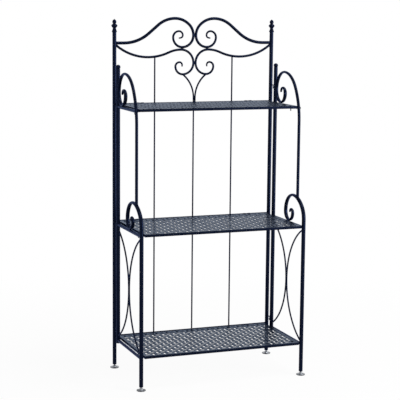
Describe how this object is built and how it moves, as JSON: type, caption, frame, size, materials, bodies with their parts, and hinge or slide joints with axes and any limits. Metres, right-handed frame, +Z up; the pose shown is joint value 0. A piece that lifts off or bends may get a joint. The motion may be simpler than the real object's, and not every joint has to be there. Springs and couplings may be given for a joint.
{
  "type": "bakers rack",
  "caption": "Folding wrought-iron style bakers rack: scrolled crest and side arches, lift-up punched-metal shelves and hinged side frames on levelling feet.",
  "frame": {"origin": "on the floor, at the middle of the footprint", "axes": "+X to the right as seen by someone in front of the rack, +Y to the back, +Z up"},
  "size_m": [0.716, 0.384, 1.4309],
  "materials": {
    "painted_bars": "black enamel with a soft gloss and a faint blue cast",
    "painted_sheet": "black enamel on thin punched sheet, a little flatter than the bars",
    "plated_feet": "bright zinc plate",
    "plated_inserts": "dull zinc plate"
  },
  "bodies": {
    "back_frame": {"back_post_left": "painted_bars", "back_post_right": "painted_bars", "finial_left": "painted_bars", "finial_right": "painted_bars", "upper_scroll_left": "painted_bars", "upper_scroll_right": "painted_bars", "lower_scroll_left": "painted_bars", "lower_scroll_right": "painted_bars", "heart_stem_left": "painted_bars", "heart_stem_right": "painted_bars", "back_rod_left": "painted_bars", "back_rod_centre": "painted_bars", "back_rod_right": "painted_bars", "top_back_rail": "painted_bars", "middle_back_rail": "painted_bars", "bottom_back_rail": "painted_bars", "hinge_pins": "painted_bars", "shelf_hinge_pins": "painted_bars", "back_inserts": "plated_inserts"},
    "left_side": {"rear_post_left": "painted_bars", "ball_cap_left": "painted_bars", "upper_arch_left": "painted_bars", "lower_arch_left": "painted_bars", "top_crossbar_left": "painted_bars", "middle_crossbar_left": "painted_bars", "bottom_crossbar_left": "painted_bars", "rear_bow_left": "painted_bars", "front_bow_left": "painted_bars", "hinge_eyes_left": "painted_bars", "shelf_tabs_left": "painted_bars", "front_insert_left": "plated_inserts"},
    "right_side": {"rear_post_right": "painted_bars", "ball_cap_right": "painted_bars", "upper_arch_right": "painted_bars", "lower_arch_right": "painted_bars", "top_crossbar_right": "painted_bars", "middle_crossbar_right": "painted_bars", "bottom_crossbar_right": "painted_bars", "rear_bow_right": "painted_bars", "front_bow_right": "painted_bars", "hinge_eyes_right": "painted_bars", "shelf_tabs_right": "painted_bars", "front_insert_right": "plated_inserts"},
    "bottom_shelf": {"bottom_shelf_frame": "painted_bars", "bottom_shelf_sheet": "painted_sheet", "bottom_shelf_barrels": "painted_bars", "bottom_shelf_pegs": "painted_bars"},
    "middle_shelf": {"middle_shelf_frame": "painted_bars", "middle_shelf_sheet": "painted_sheet", "middle_shelf_barrels": "painted_bars", "middle_shelf_pegs": "painted_bars"},
    "top_shelf": {"top_shelf_frame": "painted_bars", "top_shelf_sheet": "painted_sheet", "top_shelf_barrels": "painted_bars", "top_shelf_pegs": "painted_bars"},
    "back_left_foot": {"back_left_foot": "plated_feet"},
    "back_right_foot": {"back_right_foot": "plated_feet"},
    "front_left_foot": {"front_left_foot": "plated_feet"},
    "front_right_foot": {"front_right_foot": "plated_feet"}
  },
  "joints": [
    {"name": "left_side_swing", "type": "hinge", "parent": "back_frame", "child": "left_side", "pos_m": [-0.34, 0.139, 1.144], "axis": [0, 0, -1], "range_deg": [0, 90]},
    {"name": "right_side_swing", "type": "hinge", "parent": "back_frame", "child": "right_side", "pos_m": [0.34, 0.139, 1.144], "axis": [0, 0, 1], "range_deg": [0, 90]},
    {"name": "bottom_shelf_lift", "type": "hinge", "parent": "back_frame", "child": "bottom_shelf", "pos_m": [0, 0.16592, 0.13617], "axis": [-1, 0, 0], "range_deg": [0, 90]},
    {"name": "middle_shelf_lift", "type": "hinge", "parent": "back_frame", "child": "middle_shelf", "pos_m": [0, 0.16592, 0.61317], "axis": [-1, 0, 0], "range_deg": [0, 90]},
    {"name": "top_shelf_lift", "type": "hinge", "parent": "back_frame", "child": "top_shelf", "pos_m": [0, 0.16592, 1.08617], "axis": [-1, 0, 0], "range_deg": [0, 90]},
    {"name": "back_left_foot_screw", "type": "slide", "parent": "back_frame", "child": "back_left_foot", "axis": [0, 0, 1], "range_m": [-0.01, 0.005]},
    {"name": "back_right_foot_screw", "type": "slide", "parent": "back_frame", "child": "back_right_foot", "axis": [0, 0, 1], "range_m": [-0.01, 0.005]},
    {"name": "front_left_foot_screw", "type": "slide", "parent": "left_side", "child": "front_left_foot", "axis": [0, 0, 1], "range_m": [-0.01, 0.005]},
    {"name": "front_right_foot_screw", "type": "slide", "parent": "right_side", "child": "front_right_foot", "axis": [0, 0, 1], "range_m": [-0.01, 0.005]}
  ]
}
